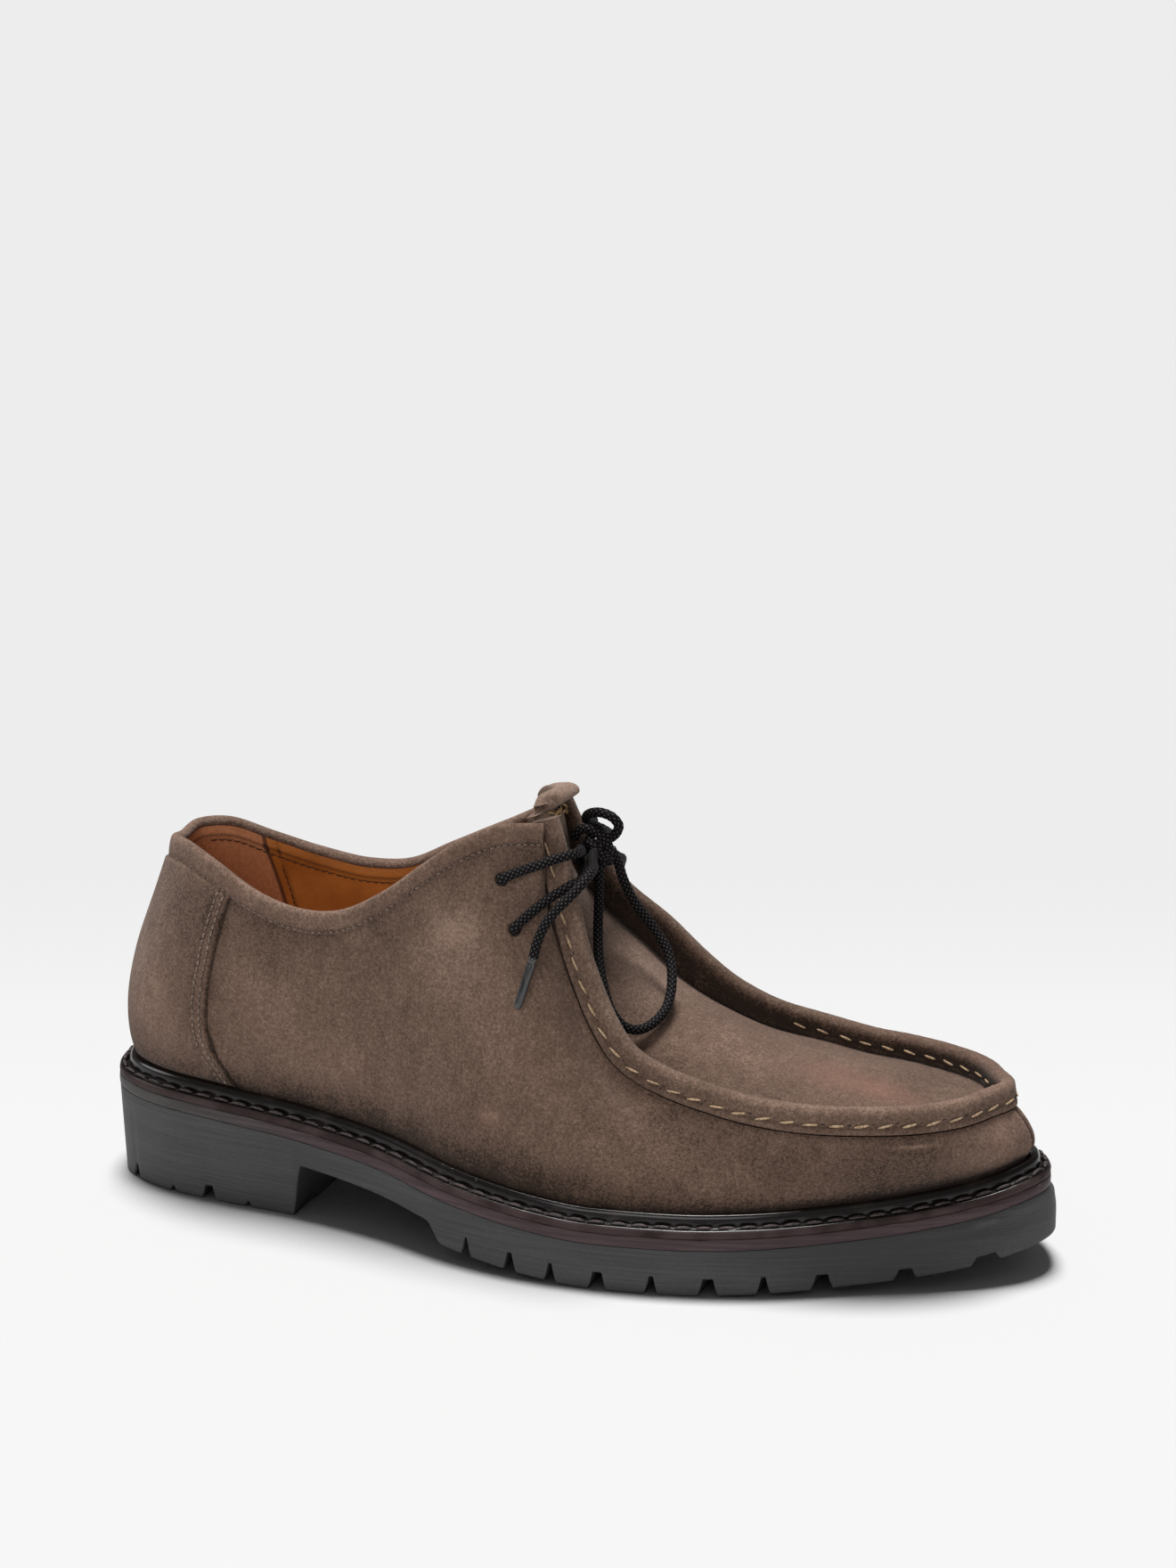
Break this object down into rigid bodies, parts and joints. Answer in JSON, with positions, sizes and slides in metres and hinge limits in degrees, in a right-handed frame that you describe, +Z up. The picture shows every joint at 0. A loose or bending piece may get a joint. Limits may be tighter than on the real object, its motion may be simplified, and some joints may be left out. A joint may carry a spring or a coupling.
{
  "type": "lace-up shoe",
  "caption": "Low lace-up shoe with a raised apron seam, rolled tongue, storm welt and a lugged rubber sole; right foot.",
  "frame": {"origin": "on the ground below the middle of the sole's bounding box", "axes": "+X from heel to toe, +Y to the medial (inner) side, +Z up"},
  "size_m": [0.2996, 0.1084, 0.1387],
  "materials": {
    "rubber": "matte, sanded at the edge",
    "midsole_leather": "burgundy-brown edge, satin",
    "welt_leather": "near black, glossy",
    "suede": "taupe-brown nap",
    "lining_leather": "tan, smooth",
    "lace_cord": "waxed black braid",
    "aglet_plastic": "glossy, near black"
  },
  "bodies": {
    "root": {"outsole": "rubber", "midsole": "midsole_leather", "welt": "welt_leather", "insole": "lining_leather", "upper": "suede", "collar_binding": "suede", "heel_counter": "suede", "apron_seam": "suede", "apron": "suede", "lace_bars": "lace_cord", "lace_knot": "lace_cord", "lace_loop_large": "lace_cord", "lace_loop_small": "lace_cord", "lace_end_lateral": "lace_cord", "lace_end_medial": "lace_cord", "aglet_lateral": "aglet_plastic", "aglet_medial": "aglet_plastic"}
  },
  "joints": []
}
